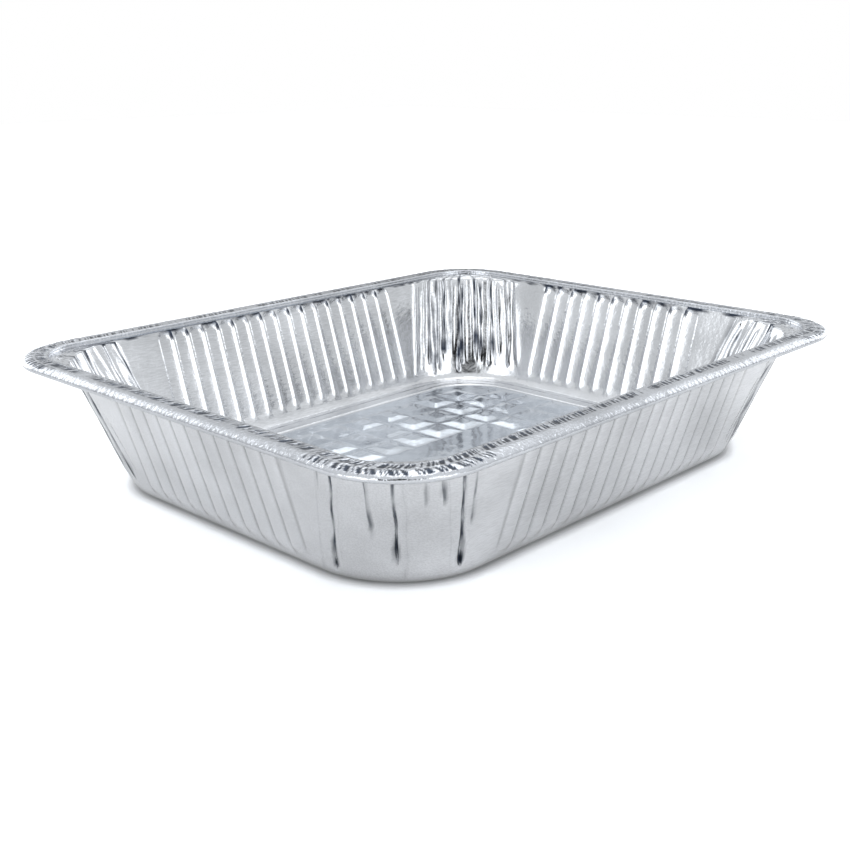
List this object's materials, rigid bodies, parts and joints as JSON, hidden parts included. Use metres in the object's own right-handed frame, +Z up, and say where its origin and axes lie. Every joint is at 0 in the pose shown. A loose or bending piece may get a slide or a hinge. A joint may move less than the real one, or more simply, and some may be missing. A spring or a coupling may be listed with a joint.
{
  "type": "aluminium foil tray",
  "caption": "Oblong deep foil tray with sloping beaded walls, pleated round corners, an embossed floor and a rolled crimped rim.",
  "frame": {"origin": "on the surface the tray stands on, under its centre", "axes": "+X along the longer side, +Y along the shorter side, +Z up through the open top"},
  "size_m": [0.324, 0.264, 0.0617],
  "materials": {
    "foil": "bright rolled foil, lightly wrinkled at the corners"
  },
  "bodies": {
    "root": {"foil_tray": "foil"}
  },
  "joints": []
}
